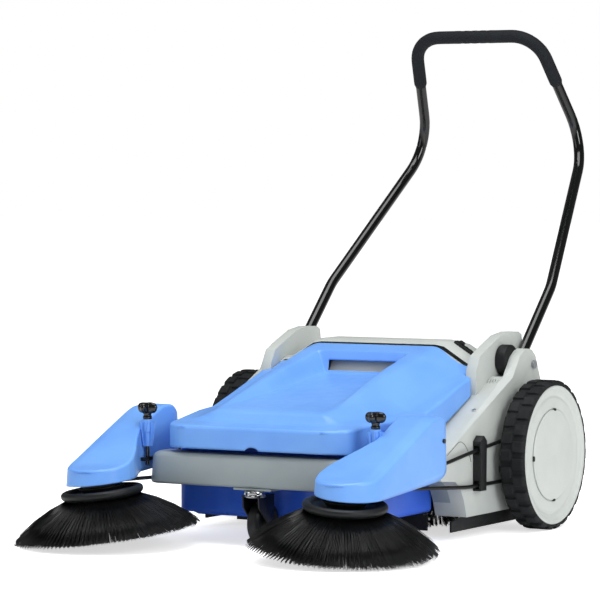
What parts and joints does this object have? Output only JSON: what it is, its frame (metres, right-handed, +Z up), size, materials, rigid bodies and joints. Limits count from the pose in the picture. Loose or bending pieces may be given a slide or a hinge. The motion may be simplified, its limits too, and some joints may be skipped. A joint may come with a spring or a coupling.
{
  "type": "walk behind sweeper",
  "caption": "Push sweeper with a main roller, two belt driven side brushes on tilting arms, a lift-out hopper, large rear wheels, a caster and a folding handle.",
  "frame": {"origin": "middle of the whole footprint, on the ground", "axes": "+Z up, front of the machine towards -Y, handle towards +Y, +X to the right seen from the front"},
  "size_m": [0.8048, 1.2422, 0.9297],
  "materials": {
    "front_beam": "fine moulded texture",
    "side_frame": "fine moulded texture",
    "rear_cover": "fine moulded texture",
    "brush_housing": "fine moulded texture",
    "side_skirt": "matt",
    "rear_skirt": "matt",
    "stub_axle": "zinc plated",
    "roller_bearing": "zinc plated",
    "handle_bolt": "zinc plated",
    "handle_buffer": "matt",
    "belt_guide": "fine moulded texture",
    "drive_belt": "matt",
    "arm_bracket": "black powder coat",
    "arm_pin": "zinc plated",
    "notched_guide": "fine moulded texture",
    "caster_plate": "zinc plated",
    "handle_tube": "black powder coat",
    "foam_grip": "matt",
    "tyre": "chunky tread",
    "wheel_rim": "fine moulded texture",
    "hub_cap": "fine moulded texture",
    "ring_gear": "fine moulded texture",
    "belt_pulley": "fine moulded texture",
    "pinion": "fine moulded texture",
    "roller_shaft": "zinc plated",
    "roller_core": "fine moulded texture",
    "roller_bristles": "stiff synthetic bristle",
    "arm_cover": "fine moulded texture",
    "arm_lever": "black powder coat",
    "brush_spindle": "zinc plated",
    "star_knob": "polished moulding",
    "brush_disc": "fine moulded texture",
    "brush_bristles": "stiff synthetic bristle",
    "hopper": "fine moulded texture",
    "hopper_lip": "matt",
    "caster_fork": "bright plated",
    "caster_wheel": "matt",
    "height_slider": "fine moulded texture"
  },
  "bodies": {
    "chassis": {"front_beam": "front_beam", "left_side_frame": "side_frame", "right_side_frame": "side_frame", "rear_cover": "rear_cover", "brush_housing": "brush_housing", "left_side_skirt": "side_skirt", "right_side_skirt": "side_skirt", "rear_skirt": "rear_skirt", "left_stub_axle": "stub_axle", "right_stub_axle": "stub_axle", "left_roller_bearing": "roller_bearing", "right_roller_bearing": "roller_bearing", "left_handle_bolt": "handle_bolt", "right_handle_bolt": "handle_bolt", "left_handle_buffer": "handle_buffer", "right_handle_buffer": "handle_buffer", "left_belt_guide": "belt_guide", "right_belt_guide": "belt_guide", "left_drive_belt": "drive_belt", "right_drive_belt": "drive_belt", "left_arm_bracket": "arm_bracket", "right_arm_bracket": "arm_bracket", "left_arm_pin": "arm_pin", "right_arm_pin": "arm_pin", "notched_guide": "notched_guide", "caster_plate": "caster_plate"},
    "handle": {"handle_tube": "handle_tube", "foam_grip": "foam_grip"},
    "left_wheel": {"left_tyre": "tyre", "left_wheel_rim": "wheel_rim", "left_hub_cap": "hub_cap", "left_ring_gear": "ring_gear", "left_belt_pulley": "belt_pulley"},
    "right_wheel": {"right_tyre": "tyre", "right_wheel_rim": "wheel_rim", "right_hub_cap": "hub_cap", "right_ring_gear": "ring_gear", "right_belt_pulley": "belt_pulley"},
    "left_pinion": {"left_pinion": "pinion"},
    "right_pinion": {"right_pinion": "pinion"},
    "roller": {"roller_shaft": "roller_shaft", "roller_core": "roller_core", "roller_bristles": "roller_bristles"},
    "left_arm": {"left_arm_cover": "arm_cover", "left_arm_lever": "arm_lever", "left_brush_spindle": "brush_spindle"},
    "right_arm": {"right_arm_cover": "arm_cover", "right_arm_lever": "arm_lever", "right_brush_spindle": "brush_spindle"},
    "left_knob": {"left_star_knob": "star_knob"},
    "right_knob": {"right_star_knob": "star_knob"},
    "left_brush": {"left_brush_disc": "brush_disc", "left_brush_bristles": "brush_bristles"},
    "right_brush": {"right_brush_disc": "brush_disc", "right_brush_bristles": "brush_bristles"},
    "hopper": {"hopper": "hopper", "hopper_lip": "hopper_lip"},
    "caster_fork": {"caster_fork": "caster_fork"},
    "caster_wheel": {"caster_wheel": "caster_wheel"},
    "height_slider": {"height_slider": "height_slider"}
  },
  "joints": [
    {"name": "handle_fold", "type": "hinge", "parent": "chassis", "child": "handle", "pos_m": [0, 0.21149, 0.299], "axis": [1, 0, 0], "range_deg": [0, 70]},
    {"name": "left_wheel_spin", "type": "hinge", "parent": "chassis", "child": "left_wheel", "pos_m": [-0.309, 0.17149, 0.137], "axis": [1, 0, 0], "continuous": true},
    {"name": "right_wheel_spin", "type": "hinge", "parent": "chassis", "child": "right_wheel", "pos_m": [0.309, 0.17149, 0.137], "axis": [1, 0, 0], "continuous": true},
    {"name": "left_pinion_spin", "type": "hinge", "parent": "chassis", "child": "left_pinion", "pos_m": [-0.295, 0.08422, 0.115], "axis": [1, 0, 0], "continuous": true},
    {"name": "right_pinion_spin", "type": "hinge", "parent": "chassis", "child": "right_pinion", "pos_m": [0.295, 0.08422, 0.115], "axis": [1, 0, 0], "continuous": true},
    {"name": "roller_spin", "type": "hinge", "parent": "chassis", "child": "roller", "pos_m": [0, 0.08422, 0.115], "axis": [1, 0, 0], "continuous": true},
    {"name": "left_knob_turn", "type": "hinge", "parent": "left_arm", "child": "left_knob", "pos_m": [-0.231, -0.33051, 0.2], "axis": [0, 0, 1], "range_deg": [-720, 720]},
    {"name": "right_knob_turn", "type": "hinge", "parent": "right_arm", "child": "right_knob", "pos_m": [0.231, -0.33051, 0.2], "axis": [0, 0, 1], "range_deg": [-720, 720]},
    {"name": "left_arm_tilt", "type": "hinge", "parent": "chassis", "child": "left_arm", "pos_m": [-0.261, -0.22851, 0.19], "axis": [1, 0, 0], "range_deg": [-1.4, 1.4], "deforming": ["left_drive_belt"]},
    {"name": "right_arm_tilt", "type": "hinge", "parent": "chassis", "child": "right_arm", "pos_m": [0.261, -0.22851, 0.19], "axis": [1, 0, 0], "range_deg": [-1.4, 1.4], "deforming": ["right_drive_belt"]},
    {"name": "left_brush_spin", "type": "hinge", "parent": "left_arm", "child": "left_brush", "pos_m": [-0.236, -0.45451, 0.0203], "axis": [-0.0956, -0.0746, 0.9926], "continuous": true},
    {"name": "right_brush_spin", "type": "hinge", "parent": "right_arm", "child": "right_brush", "pos_m": [0.236, -0.45451, 0.0203], "axis": [0.0956, -0.0746, 0.9926], "continuous": true},
    {"name": "hopper_lift", "type": "slide", "parent": "chassis", "child": "hopper", "axis": [0, 0, 1], "range_m": [0, 0.25]},
    {"name": "caster_swivel", "type": "hinge", "parent": "chassis", "child": "caster_fork", "pos_m": [0, -0.34651, 0.104], "axis": [0, 0, 1], "continuous": true},
    {"name": "caster_roll", "type": "hinge", "parent": "caster_fork", "child": "caster_wheel", "pos_m": [0, -0.31851, 0.0403], "axis": [1, 0, 0], "continuous": true},
    {"name": "height_slide", "type": "slide", "parent": "chassis", "child": "height_slider", "axis": [0.8517, 0, -0.5241], "range_m": [0, 0.032]}
  ],
  "couplings": [
    {"joint": "left_pinion_spin", "follows": "left_wheel_spin", "ratio": 6},
    {"joint": "right_pinion_spin", "follows": "right_wheel_spin", "ratio": 6},
    {"joint": "roller_spin", "follows": "right_wheel_spin", "ratio": 6},
    {"joint": "left_brush_spin", "follows": "left_wheel_spin", "ratio": 1.1053},
    {"joint": "right_brush_spin", "follows": "right_wheel_spin", "ratio": -1.1053},
    {"joint": "left_knob_turn", "follows": "left_arm_tilt", "ratio": -512.71},
    {"joint": "right_knob_turn", "follows": "right_arm_tilt", "ratio": -512.71}
  ]
}
